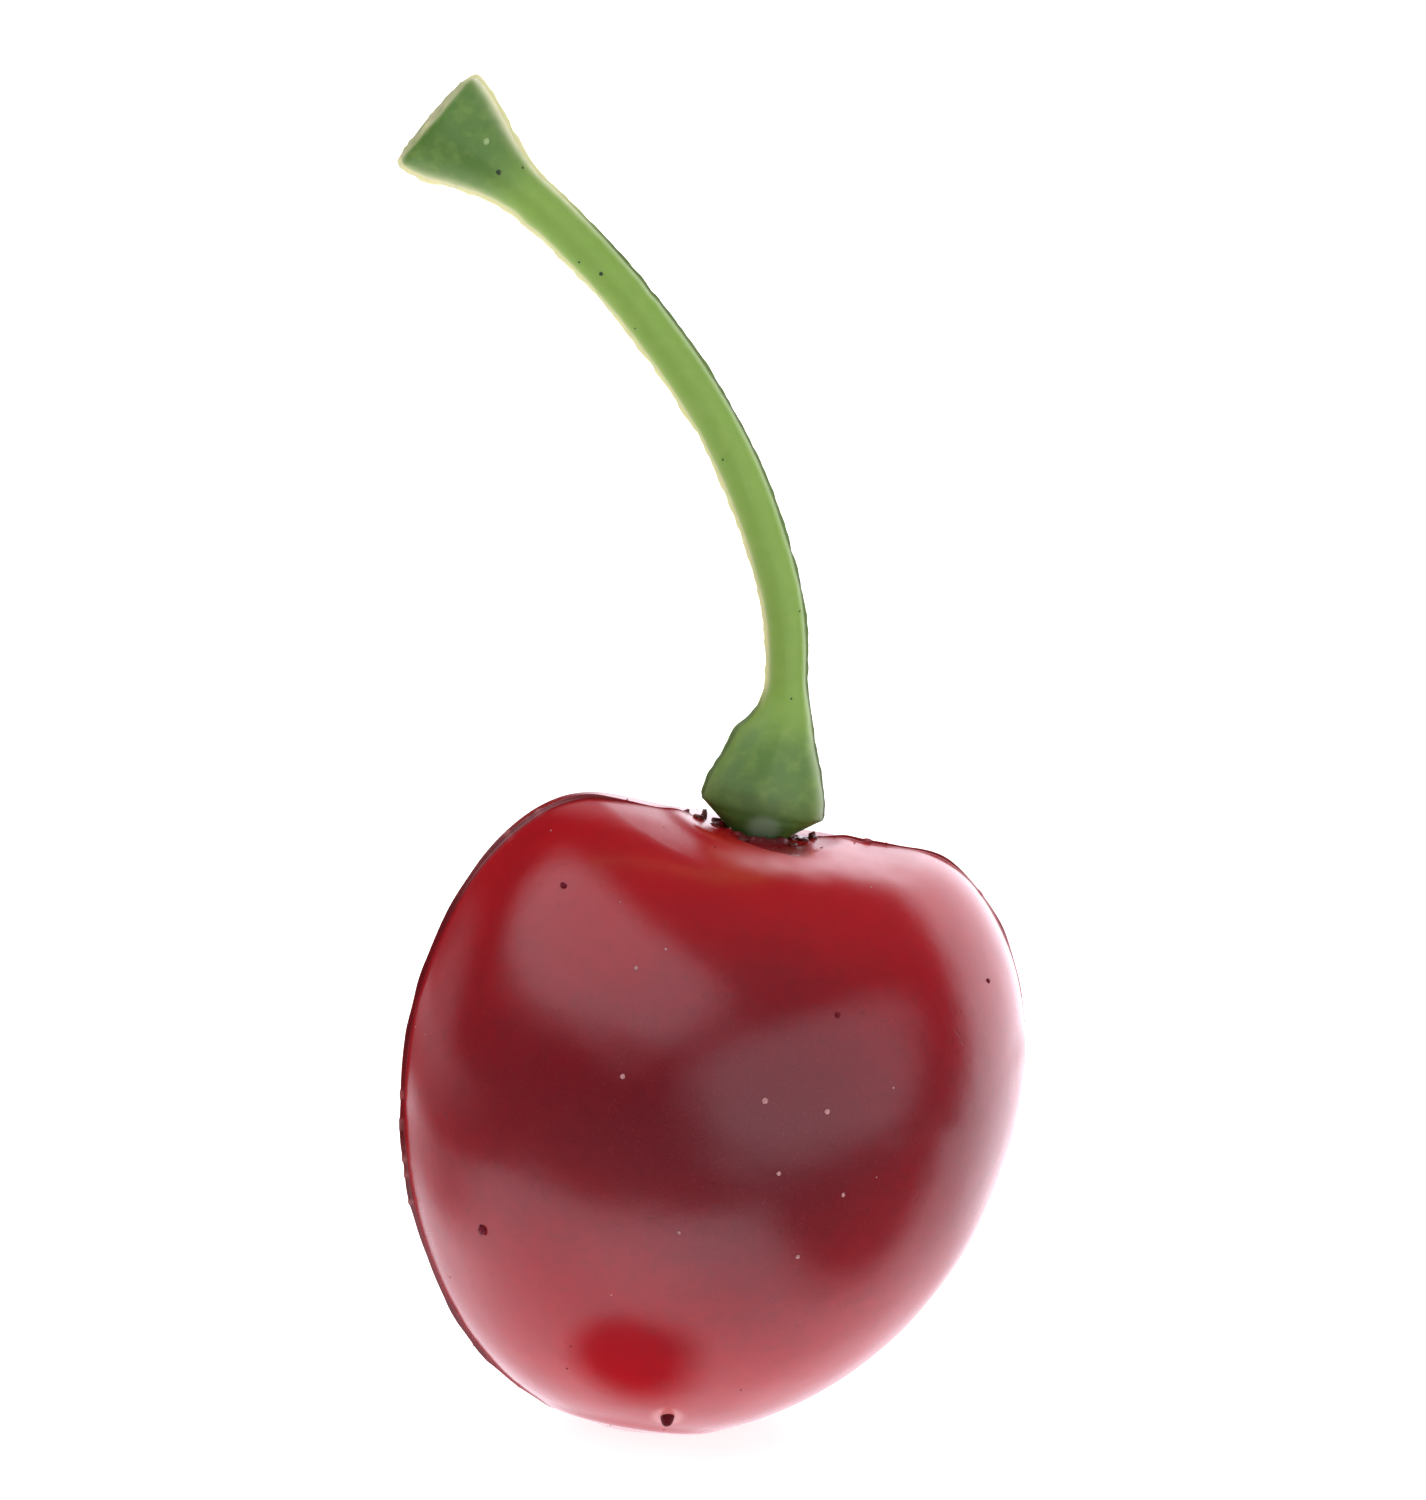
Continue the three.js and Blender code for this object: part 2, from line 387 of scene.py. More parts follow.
def closeSkin(rings, ends, marks):  # adds the end points and takes it from the leaning frame to the floor's
    every = standing(np.vstack([ends[:1], rings.reshape(-1, 3), ends[1:]]))
    marks = {name: np.concatenate([[0], values.ravel(), [0]]) for name, values in marks.items()}
    return every, len(rings), marks


# The fruit stands on its own axis, with 0 at the crater and the tip below.

fruit = {
    "tipDrop": 24.9,
    "shoulders": (6.3, 0.08, 0, 12.35, 9.9),  # crest radius, height and slope, half width, waist drop
    "faces": (5.2, -1.1, -0.42, 11.8, 10.1),
    "tipSway": 1.35,  # how far the tip bends to the left
    "shoulderTilt": 0.032,
    "columns": 288,
    "crowding": 0.43,  # draws the columns together at the parting line
    "rings": (74, 90, 139),  # in the crater, over the shoulder and down to the tip
    "craterRadius": 2.9,
    "craterDepth": 0.16,
    "holeRadius": 1.29,  # the torn lip closes on the plug
    "holeDepth": 4.6,
    "holeLevels": (-3, -1.5, -0.6, -0.25, -0.1),  # rings of its wall
    "lip": (0.2, 1.5, 0.17),  # the torn edge of the hole: height, radius, reach
    "collar": (0.1, 3.35, 0.5),  # the swelling round the crater: height, radius, reach
    "scoop": (2.2, 5.5, 0.12),  # dint in front of the hole: left and right end, depth
    # where the plastic folds over in front of it, and where a pale highlight is painted on: across and up
    # the view
    "scoopEdge": ((1.8, 23.35), (2.6, 23.05), (3.6, 22.7), (4.6, 22.4), (5.6, 22.35)),
    "paintedHighlightLine": (
        (-0.4, 23.4), (1.8, 22.4), (3.5, 22.1), (5.2, 22.1),
        (6.3, 22.25), (7.4, 22.1), (8.5, 21.9), (10, 21.5),
    ),
    "paintedHighlightReach": (0.35, 0.55),  # at its left and right end
    "seamTurn": 8,  # degrees from the X axis
    "keel": (0.1, 1.3),  # height and reach of the swelling at the parting line
    "ridge": (0.05, 0.14),  # the worn ridge on it
    "fin": (0.05, 0.05),  # the broken flash on that
    "web": 0.2,  # height of the thin unbroken flash
    "halfStep": (0.045, 1.6),  # how much the front half stands proud of the back half, and its reach
    "dents": ((0.07, 6.5), (0.03, 3.1), (0.006, 1.1)),  # depth and size
    "flatSpot": 0.08,  # rounding of the edge of the flat that it rests on
    "bead": (-0.34, -0.1),  # a dried bead of paint: across and up the view
}


def outlineBends(crestRadius, crestHeight, crestSlope, halfWidth, waistDrop):
    tipDrop = fruit["tipDrop"]
    topReach = 0.36 * crestRadius
    shoulderReach = 0.6 * (halfWidth - crestRadius)
    shoulderRise = 0.46 * (waistDrop + crestHeight)
    bellyDrop = 0.48 * (tipDrop - waistDrop)
    tipReach = 0.58 * halfWidth
    crest = (crestRadius, crestHeight)
    waist = (halfWidth, -waistDrop)
    return np.array([
        [(0, 0), (topReach, 0), (crestRadius - topReach, crestHeight - crestSlope * topReach), crest],
        [
            crest,
            (crestRadius + shoulderReach, crestHeight + crestSlope * shoulderReach),
            (halfWidth, shoulderRise - waistDrop),
            waist,
        ],
        [waist, (halfWidth, -waistDrop - bellyDrop), (tipReach, -tipDrop), (0, -tipDrop)],
    ])


def bendPoints(bend, share):  # along a cubic bend with four handles
    a, b, c, d = bend
    t = share[:, None]
    return (1 - t) ** 3 * a + 3 * (1 - t) ** 2 * t * b + 3 * (1 - t) * t**2 * c + t**3 * d


def fruitOutline(roundShare):  # from the lip of the hole over the shoulder to just short of the tip
    bends = lerp(outlineBends(*fruit["faces"]), outlineBends(*fruit["shoulders"]), roundShare)
    craterRings, shoulderRings, bellyRings = fruit["rings"]
    fineShare = np.linspace(0, 1, 240)
    steps = np.linspace(0, 1, craterRings) ** 1.25  # closer together at the lip
    wanted = lerp(fruit["holeRadius"], bends[0][3][0], steps)
    share = np.interp(wanted, bendPoints(bends[0], fineShare)[:, 0], fineShare)
    return np.vstack([
        bendPoints(bends[0], share),
        bendPoints(bends[1], np.linspace(0, 1, shoulderRings + 1)[1:]),
        bendPoints(bends[2], np.linspace(0, 1, bellyRings + 2)[1:-1]),
    ])


def partingRelief(radius, height, angle):  # a soft keel, a worn ridge, a step and broken flash
    turned = angle - math.radians(fruit["seamTurn"])
    aside = radius * np.sin(turned)
    away = np.abs(aside)
    along = np.stack([radius * np.sign(np.cos(turned)), 0 * radius, height], axis=-1)
    wear = wobble(along, 1.7, 3.1)
    shred = ease(wobble(along, 0.38, 9.4) + 0.5 * wobble(along, 2.6, 5.2), 0.3, 0.7)
    keelHeight, keelReach = fruit["keel"]
    ridgeHeight, ridgeReach = fruit["ridge"]
    finHeight, finReach = fruit["fin"]
    stepHeight, stepReach = fruit["halfStep"]
    proud = keelHeight * np.exp(-away / keelReach)
    proud += ridgeHeight * (0.7 + 0.5 * wear) * hill(away, ridgeReach)
    # the web runs down the left side, thinner near the crater and the tip, and over the right shoulder
    left = ease(-along[..., 0], -2, 1)
    web = lerp(0.55 * ease(height, -9, -3), lerp(0.2, 1, ease(radius, 4, 6.5)), left)
    web = web * (0.75 + 0.35 * wear)
    proud += (fruit["web"] * web + finHeight * shred) * hill(away, finReach)
    proud += stepHeight * ease(-aside, -0.05, 0.05) * np.exp(-away / stepReach)
    clear = ease(radius, 0.5 * fruit["craterRadius"], 1.3 * fruit["craterRadius"])
    marks = {
        "parting": hill(away, 0.2) * ease(radius, 1.4, 2.2) * (0.3 + 0.7 * web),
        "flash": shred * hill(away, 0.09) * clear,
    }
    return proud * clear, wear, marks


def frontFolds(rough):  # how much a point is in the dint, and in the painted highlight in front of it
    stood = standing(rough.reshape(-1, 3)).reshape(rough.shape)
    sideways, rise = stood[..., 0], stood @ np.array(sightUp)
    rise = rise + 0.06 * wobble(rough, 0.8, 61.3)
    forward = ease(rough[..., 1], -0.6, -1.3) * ease(rough[..., 2], -6, -5)
    left, right, _ = fruit["scoop"]
    scoop = ease(rise - np.interp(sideways, *np.transpose(fruit["scoopEdge"])), -0.1, 0.2) * forward
    scoop *= ease(sideways, left - 0.4, left + 0.6) * ease(sideways, right, right - 0.5)
    # a painted highlight: a pale band along the front of the saddle, below the dint
    reach = lerp(*fruit["paintedHighlightReach"], ease(sideways, 4, 6))
    paintedHighlight = hill(rise - np.interp(sideways, *np.transpose(fruit["paintedHighlightLine"])), reach) * forward
    paintedHighlight *= ease(sideways, 0.8, 4.4) * ease(sideways, 10.5, 7.5) * (0.85 + 0.3 * wobble(rough, 0.9, 63.9))
    return scoop, paintedHighlight


def makeFruitPoints():
    even = np.linspace(0, 2 * math.pi, fruit["columns"], endpoint=False)
    angle = even - fruit["crowding"] * np.sin(2 * even) + math.radians(fruit["seamTurn"])
    outline = np.stack([fruitOutline(math.cos(a) ** 2) for a in angle], axis=1)
    radius, height = outline[..., 0], outline[..., 1]
    tipDrop = fruit["tipDrop"]
    outward = np.stack([radius, height + 0.5 * tipDrop], axis=-1)
    outward /= np.linalg.norm(outward, axis=-1, keepdims=True)
    rough = np.stack([radius * np.cos(angle), radius * np.sin(angle), height], axis=-1)

    proud, wear, marks = partingRelief(radius, height, angle)
    for index, (depth, size) in enumerate(fruit["dents"]):
        proud += depth * wobble(rough, size, 20.5 + 7 * index) * ease(radius, 0.5, 4)
    collarHeight, collarRadius, collarReach = fruit["collar"]
    proud += collarHeight * (0.8 + 0.3 * wear) * hill(radius - collarRadius, collarReach)
    scoop, paintedHighlight = frontFolds(rough)
    proud -= fruit["scoop"][2] * scoop * ease(radius, 1.4, 1.8)

    lipHeight, lipRadius, lipReach = fruit["lip"]
    lip = hill(radius - lipRadius, lipReach) * (0.35 + 0.9 * wobble(rough, 0.32, 41.7))  # torn into points
    share = np.minimum(radius / fruit["craterRadius"], 1)
    craterRise = fruit["craterDepth"] * (1 - (1 - share**2) ** 2)
    grown = radius + proud * outward[..., 0]
    drop = -height / tipDrop
    tilted = fruit["shoulderTilt"] * grown * np.cos(angle) * (1 - drop)
    points = np.stack([
        grown * np.cos(angle) - fruit["tipSway"] * drop**2,
        grown * np.sin(angle),
        height + proud * outward[..., 1] - tilted + craterRise + lipHeight * lip,
    ], axis=-1)

    wall = []  # the wall of the hole, from its floor up
    reach = fruit["holeRadius"]
    for level in (-fruit["holeDepth"], *fruit["holeLevels"]):
        ring = [reach * np.cos(angle), reach * np.sin(angle), np.full_like(angle, level)]
        wall.append(np.stack(ring, axis=-1))
    # the dint in front of the hole and the inside of the hole are painted dark red, a painted shade
    marks = {**marks, "tornAndShade": ease(radius, 1.9, 1.4), "hollowShade": scoop, "paintedHighlight": paintedHighlight}
    for name, values in marks.items():
        # inside the hole both marks are full: painted shade
        inHole = np.full((len(wall), len(angle)), float(name in ("tornAndShade", "hollowShade")))
        marks[name] = np.concatenate([inHole, values])
    ends = np.array([(0, 0, -fruit["holeDepth"]), (-fruit["tipSway"], 0, -tipDrop)])
    every, ringCount, marks = closeSkin(np.concatenate([np.array(wall), points]), ends, marks)
    bearing = every[:, 2]
    every[:, 2] = 0.5 * (bearing + np.sqrt(bearing**2 + fruit["flatSpot"] ** 2))
    return every, ringCount, marks


skinPaint = {
    "red": (0.425, 0.0035, 0.0105),
    "warmRed": (0.46, 0.005, 0.0095),
    "deepRed": (0.35, 0.0035, 0.0105),
    "maroon": (0.115, 0.007, 0.0135),
    # painted shade in the dint in front of the hole and inside the hole
    "hollowShadeRed": (0.13, 0.003, 0.008),
    "bloom": (0.42, 0.07, 0.09),
    # painted highlight on the front of the top saddle
    "paintedHighlightPink": (0.84, 0.38, 0.43),
    # pale flash, and the painted highlight round the bead
    "flashAndHighlightPink": (0.75, 0.3, 0.3),
    # dark of the parting line and of the torn lip, also a painted shade round and inside the hole
    "partingAndHoleShadeDark": (0.045, 0.005, 0.008),
    # how strongly each layer covers what is below it
    "layers": {
        "dapple": 0.35, "bloom": 0.16, "hollowShade": 0.85, "paintedHighlight": 0.75,
        "haloHighlight": 0.65, "parting": 0.95, "tornAndShade": 0.6, "flash": 0.35,
    },
    # sizes of the patterns in millimetres
    "swirl": 7,
    "warmth": 11,
    "dapple": 2.3,
    "mottle": 0.75,
    "pores": 0.3,
    "mist": 0.3,
    "droplets": 0.09,
    "orangePeel": (0.5, 3.2),  # fine and coarse
    "haloHighlight": (0.95, 1.9, 0.95),  # reach of the painted highlight round the bead of paint
    "roughness": 0.19,
    "relief": (0.22, 0.02),  # strength, and depth in millimetres
    # sprayed patches: middle, reach and strength
    "patches": (
        ((4.2, -10.8, 13.6), (14.3, 10.6, 17.3), 0.88),
        ((-9.8, -8.2, 17.3), (12.7, 10.7, 19.4), 0.67),
        ((15.2, -8.0, 12.9), (10.3, 10.8, 19.7), 0.82),
        ((-0.2, -9.9, 15.7), (16.6, 9.0, 7.4), 0.76),
        ((4.5, 11.0, 15.5), (12.0, 8.0, 11.0), 0.9),
        ((-7.5, 9.0, 12.5), (10.0, 8.0, 11.0), 0.75),
        ((0.5, 11.5, 9.0), (9.0, 7.0, 7.0), 0.45),
    ),
}


def facingSpot(tree, across, rise):  # the point of a piece that the camera sees there, and its normal
    eye = scene.camera.location
    target = Vector((across, 0, 0)) * mm + sightUp * rise * mm
    return tree.ray_cast(eye, (target - eye).normalized())[:2]


def makeSkinMaterial(beadPlace):
    material = bpy.data.materials.new("cherrySkin")
    start = startTree(material)
    place = placeInMillimetres(start)
    layer = skinPaint["layers"]
    swirl = grain(place, skinPaint["swirl"], 3) - 0.5
    mist = grain(place, skinPaint["mist"], 3, 0.6)
    droplets = grain(place, skinPaint["droplets"], 2, 0.6)
    cover = None
    for centre, reach, strength in skinPaint["patches"]:
        patch = strength * blob(place, centre, reach)
        cover = patch if cover is None else cover + patch - cover * patch
    thin = cover * (1 - cover)  # where the spray thins out it breaks into mist
    spray = cover + thin * (0.9 * swirl + 0.5 * (mist - 0.5) + 0.3 * (droplets - 0.5))
    warmth = easeWire(grain(place, skinPaint["warmth"], 2), 0.4, 0.7)
    dapple = easeWire(grain(place, skinPaint["dapple"], 4), 0.35, 0.75)
    mottle = easeWire(grain(place, skinPaint["mottle"], 3, 0.65), 0.35, 0.7)
    pores = easeWire(grain(place, skinPaint["pores"], 1), 0.66, 0.76)
    # a painted highlight: a pale ring round the bead
    haloHighlight = easeWire(blob(place, beadPlace, skinPaint["haloHighlight"]), 0, 0.6)
    # darker round the hole, partly torn plastic and partly painted shade, and painted shade inside the hole
    tornAndShade = mark(start, "tornAndShade")
    colour = mixColours(warmth, skinPaint["red"], skinPaint["warmRed"])
    colour = paintOver(colour, skinPaint, (
        (layer["dapple"] * dapple, "deepRed"),
        (spray, "maroon"),
        ((0.06 + 0.28 * cover) * (mottle + pores), "maroon"),
        (layer["bloom"] * easeWire(droplets, 0.55, 0.75) * cover, "bloom"),
        # painted shade in the dint and the hole
        (layer["hollowShade"] * mark(start, "hollowShade"), "hollowShadeRed"),
        # the painted highlight in front of the hole
        (layer["paintedHighlight"] * mark(start, "paintedHighlight"), "paintedHighlightPink"),
        (layer["haloHighlight"] * haloHighlight, "flashAndHighlightPink"),
        (layer["parting"] * mark(start, "parting") + layer["tornAndShade"] * tornAndShade, "partingAndHoleShadeDark"),
        (layer["flash"] * mark(start, "flash"), "flashAndHighlightPink"),
    ))
    gloss = skinPaint["roughness"] + 0.03 * spray + 0.06 * (mist - 0.5) + 0.06 * swirl + 0.15 * tornAndShade
    finePeel, coarsePeel = skinPaint["orangePeel"]
    height = grain(place, finePeel, 3) + 0.5 * droplets + 2.5 * grain(place, coarsePeel, 2) - 0.4 * pores
    strength, depth = skinPaint["relief"]
    look = {
        "Base Color": colour,
        "Roughness": gloss,
        "IOR": 1.5,
        "Subsurface Weight": 0.08,
        "Subsurface Radius": (1, 0.15, 0.1),
        "Subsurface Scale": 0.0008,
    }
    finishMaterial(start, look, {"Height": height, "Strength": strength, "Distance": depth * mm})
    return material


fruitPoints, fruitRings, fruitMarks = makeFruitPoints()
fruitFaces = skinFaces(fruitRings, fruit["columns"], upwards=False)
fruitTree = BVHTree.FromPolygons((fruitPoints * mm).tolist(), fruitFaces)
beadSpot = facingSpot(fruitTree, *fruit["bead"])
skinMaterial = makeSkinMaterial(beadSpot[0] / mm)
fruitPiece = makePiece("fruitSkin", skinMaterial, fruitPoints, fruitFaces, fruitMarks)
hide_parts("fruit")
print("fruit ready", len(fruitFaces))


# The stalk bends along its own line in the same leaning frame. Its heights are measured along that line.

stalk = {
    "line": (
        (0, 0, -4.3), (0, 0, 0), (0.12, 0, 3), (0.24, 0.03, 5.9), (-0.68, 0.12, 10.0),
        (-3.5, 0.3, 15.2), (-7.5, 0.5, 19.72), (-12.0, 0.75, 23.35), (-17.2, 1.0, 26.55),
    ),
    "columns": 112,
    "crowding": 0.36,  # draws the columns together at its two edges
    "plug": (1.25, 4.3, 0.35),  # radius, depth, chamfer
    "underside": 0.04,  # where the foot leaves the plug
    "foot": (0.95, 1.72, 5.6, 0.15, 1.75),  # rise, flare, length, rim drop, rise of the soft faces
    "shaft": (0.73, 0.88),  # half width at the foot and at the head
    "head": (1.42, 5.1, 0.12),  # flare, length, dome
    "flatness": (0.92, 0.7),  # depth for its width, of the shaft and of the foot
    "ringStep": 0.11,
    # rings of the dome, as shares of the head's end
    "domeShares": (0.97, 0.93, 0.86, 0.77, 0.66, 0.54, 0.42, 0.3, 0.2, 0.12, 0.06),
    "fin": (0.17, 0.08),  # height and reach of the flash along both edges
    "lengthLine": (0.008, 0.06),  # the same for the fine line along the face
    "raggedness": 0.09,  # of the rims under the foot and round the head's end
    "corner": (0.55, 0.45),  # rounding of the head's corners: width and length
    "plugSpot": (0.15, 0.45, 0.72, 0.52),  # paler middle of the foot: across, height, half width and height
    # small dents and bumps: height, side in degrees round the section, how proud and how long
    "nicks": (
        (17.0, 180, -0.04, 0.35), (29.5, 180, 0.06, 0.5), (32.6, 180, 0.08, 0.3),
        (23.0, 0, -0.05, 0.3), (2.6, 0, -0.05, 0.4), (28.3, 180, 0.1, 0.45), (3.9, 180, 0.12, 0.5),
    ),
}


def smoothLine(points):
    points = np.array(points, float)
    points = np.vstack([2 * points[0] - points[1], points, 2 * points[-1] - points[-2]])
    spans = len(points) - 3
    share = np.linspace(0, spans, 4001)
    span = np.minimum(share.astype(int), spans - 1)
    part = (share - span)[:, None]
    before, near, far, after = (points[span + step] for step in range(4))
    leave, arrive = 0.5 * (far - before), 0.5 * (after - near)
    line = (2 * near - 2 * far + leave + arrive) * part**3
    line += (3 * far - 3 * near - 2 * leave - arrive) * part**2 + leave * part + near
    steps = np.linalg.norm(np.diff(line, axis=0), axis=1)
    return line, np.concatenate([[0], np.cumsum(steps)])


def stalkWidth(height, headHeight):
    rise, flare, length, _, _ = stalk["foot"]
    headFlare, headLength, _ = stalk["head"]
    slim = lerp(*stalk["shaft"], height / headHeight)
    footShare = 1 - ease(height, rise, rise + length)
    headShare = 1 - ease(headHeight - height, 0, headLength)
    return slim + flare * footShare + headFlare * headShare


def stalkDepth(halfWidth):
    share = ease(halfWidth, stalk["shaft"][1], stalk["shaft"][0] + stalk["foot"][1])
    return halfWidth * lerp(*stalk["flatness"], share)


def stalkStations(headHeight):  # height, half width, half depth, from the plug's end to the head's dome
    radius, depth, chamfer = stalk["plug"]
    start = stalk["underside"]
    rise, _, _, rimDrop, softRise = stalk["foot"]
    stations = [(-depth, radius - chamfer, radius - chamfer), (-depth + chamfer, radius, radius)]
    stations += [(height, radius, radius) for height in np.linspace(-depth + 1, 0, 8)]
    under = rise - rimDrop
    # the underside slopes in to the plug: sharp at the sides, rolling softly into the faces
    deep = stalkDepth(stalkWidth(softRise, headHeight))
    low = [
        *np.linspace(start, under, 9),
        *np.linspace(under, rise, 5)[1:],
        *np.linspace(rise, softRise, 7)[1:],
    ]
    for height in low:
        width = stalkWidth(max(height, rise), headHeight)
        spread = min((height - start) / (rise - start), 1) ** 1.15
        roll = math.sin(0.5 * math.pi * (height - start) / (softRise - start)) ** 0.85
        stations.append((height, lerp(radius, width, spread), lerp(radius, deep, roll)))
    count = int((headHeight - softRise) / stalk["ringStep"])
    cornerWidth, cornerLength = stalk["corner"]
    heights = list(np.linspace(softRise, headHeight - cornerLength, count)[1:])
    heights += list(headHeight - cornerLength * np.cos(np.linspace(0, 0.5 * math.pi, 9)[1:]))
    for height in heights:
        width = stalkWidth(height, headHeight)
        rounded = max(0, 1 - (headHeight - height) / cornerLength)
        inset = cornerWidth * (1 - math.sqrt(1 - rounded**2))
        stations.append((height, width - inset, stalkDepth(width) - 0.4 * inset))
    endWidth, endDepth = stations[-1][1:]
    dome = stalk["head"][2]
    for share in stalk["domeShares"]:
        stations.append((headHeight + dome * (1 - share**2), endWidth * share, endDepth * share))
    return np.array(stations)


def stalkAxes(line, along, height, headHeight):  # each station's middle, and its ways along, across and in
    slopes = np.gradient(line, along, axis=0)
    walked = np.clip(height[:, 0] + stalk["plug"][1], 0, along[-1])
    centre, tangent = (
        np.stack([np.interp(walked, along, table[:, k]) for k in range(3)], axis=-1)
        for table in (line, slopes)
    )
    tangent /= np.linalg.norm(tangent, axis=1, keepdims=True)
    centre += tangent * np.maximum(height - headHeight, 0)
    widthways = np.cross((0, 1, 0), tangent)
    widthways /= np.linalg.norm(widthways, axis=1, keepdims=True)
    return centre, tangent, widthways, np.cross(tangent, widthways)


def stalkRelief(rough, height, headHeight, halfWidth, angle, across, edgeAway, wear, onShaft):
    # flash along both edges, a fine line along the face, soft unevenness and nicks
    finHeight, finReach = stalk["fin"]
    edge = hill(edgeAway, finReach) * onShaft
    finShare = lerp(1.1, 0.75, ease(across, -0.3, 0.3)) * lerp(0.8, 1, ease(height, 3, 7))
    finShare = finShare + 0.35 * ease(height, headHeight - 6, headHeight - 4)
    proud = finHeight * edge * finShare * np.clip(wear, 0.4, 1.15)
    lineHeight, lineReach = stalk["lengthLine"]
    middle = ease(height, 5, 8) * ease(headHeight - height, 3, 6)
    face = hill(across - 0.3 * halfWidth * np.sin(0.35 * height + 1), lineReach) * middle
    proud += lineHeight * face
    proud += (0.025 * wobble(rough, 2.4, 13.3) + 0.008 * wobble(rough, 0.5, 17.9)) * onShaft
    for nickHeight, side, size, reach in stalk["nicks"]:
        turned = (angle - math.radians(side) + math.pi) % (2 * math.pi) - math.pi
        proud += size * (hill(height - nickHeight, reach) * hill(turned * halfWidth, 1.3 * reach))
    return proud


def stalkShades(height, headHeight, halfWidth, halfDepth, across, edgeAway, wear, onShaft, ragged):
    # the flash is pale, darkened on the right of the shaft and on both sides of the foot
    side = ease(across, -0.3, 0.3)
    dark = side * ease(height, headHeight - 5, headHeight - 9) + (1 - side) * ease(height, 6.5, 4.5)
    edge = hill(edgeAway / (0.47 * halfDepth), 1) ** 1.5
    strip = hill(np.minimum(edgeAway / (0.62 * halfDepth), 1) ** 1.5, 1) * np.clip(0.3 + wear, 0, 1)
    spotAcross, spotHeight, spotWidth, spotTall = stalk["plugSpot"]
    spotAway = np.hypot((across - spotAcross) / spotWidth, (height - spotHeight) / spotTall)
    return {
        "flare": ease(halfWidth, 0.85, 1.8) * ease(height, 0.0, 0.4) + 0 * across,
        "edge": edge * (1 - dark) * onShaft * np.clip(0.3 + wear, 0.4, 1),
        "edgeDark": hill(edgeAway, 0.17) * dark * onShaft,
        "strip": strip * onShaft,
        "rim": ease(height, headHeight - 0.2, headHeight - 0.05) * np.clip(0.75 + 0.3 * ragged, 0, 1),
        "low": ease(height, 3.4, 1.2) * ease(across, 1.4, -0.6),
        # painted shade: darker towards the bottom of the foot, under its flare
        "shadedBottom": ease(height + 0.15 * ragged, 1.7, 0.7) * (1 - 0.75 * ease(across, 0.3, 1.3)),
        "head": ease(height, headHeight - 5.5, headHeight - 2.5) + 0 * across,
        "plug": ease(spotAway + 0.12 * ragged, 1.3, 0.55),
    }


def makeStalkPoints():
    line, along = smoothLine(stalk["line"])
    headHeight = along[-1] - stalk["plug"][1]
    stations = stalkStations(headHeight)
    height, halfWidth, halfDepth = (stations[:, [k]] for k in range(3))
    centre, tangent, widthways, depthways = stalkAxes(line, along, height, headHeight)

    even = np.linspace(0, 2 * math.pi, stalk["columns"], endpoint=False)
    angle = (even - stalk["crowding"] * np.sin(2 * even))[None, :]
    pinch = lerp(1, 1.16, ease(halfWidth, 0.7, 1.6) * ease(height, 0.6, 0.9))  # edges, not an ellipse
    across = halfWidth * np.sign(np.cos(angle)) * np.abs(np.cos(angle)) ** pinch
    pinch = lerp(pinch, 0.62, ease(height, headHeight - 3, headHeight))  # the head's end is boxier
    inward = halfDepth * np.sign(np.sin(angle)) * np.abs(np.sin(angle)) ** pinch
    wide, deep = widthways[:, None], depthways[:, None]
    rough = centre[:, None] + across[..., None] * wide + inward[..., None] * deep
    outward = np.cos(angle)[..., None] * wide + np.sin(angle)[..., None] * deep

    edgeAway = np.abs(inward)
    onShaft = ease(height, 0.85, 1.3) * ease(headHeight - height, -0.02, 0.1)
    wear = 0.75 + 0.3 * wobble(rough, 0.9, 2.2) + 0.3 * wobble(rough, 0.35, 6.8)
    proud = stalkRelief(rough, height, headHeight, halfWidth, angle, across, edgeAway, wear, onShaft)
    rims = 0.6 * hill(height - stalk["foot"][0], 0.3) * ease(edgeAway, 1.2, 0.3)
    rims = rims + hill(height - headHeight, 0.12) * ease(halfWidth, 1.4, 1.8)
    ragged = wobble(rough, 0.75, 31.1) + 0.6 * wobble(rough, 0.28, 33.3)
    proud += stalk["raggedness"] * rims * ragged
    shift = (0.11 * ragged + 0.05) * rims * ease(halfWidth, 1.3, 1.7)
    points = rough + proud[..., None] * outward + shift[..., None] * tangent[:, None]
    marks = stalkShades(height, headHeight, halfWidth, halfDepth, across, edgeAway, wear, onShaft, ragged)
    return closeSkin(points, np.array([line[0], centre[-1] + 0.002 * tangent[-1]]), marks)


stalkPaint = {
    "shaftGreen": (0.21, 0.37, 0.052),
    "flareGreen": (0.075, 0.185, 0.034),
    "footGreen": (0.062, 0.14, 0.06),
    # painted shade under the foot's flare
    "shadedBottomGreen": (0.045, 0.14, 0.016),
    "headGreen": (0.022, 0.12, 0.004),
    "plugGreen": (0.2, 0.31, 0.19),
    "stripGreen": (0.3, 0.44, 0.09),
    "paleFlash": (0.78, 0.7, 0.45),
    "darkFlash": (0.06, 0.06, 0.035),
    # how strongly each layer covers what is below it
    "layers": {
        "low": 0.8, "head": 0.8, "streak": 0.3, "shadedBottom": 0.9, "plug": 0.85,
        "strip": 0.5, "edge": 0.85, "rim": 0.8, "edgeDark": 0.85,
    },
    # sizes of the patterns in millimetres
    "cloud": 3.2,
    "streak": 0.55,
    "fine": 0.12,
    "roughness": 0.42,
    "relief": (0.3, 0.03),  # strength, and depth in millimetres
}


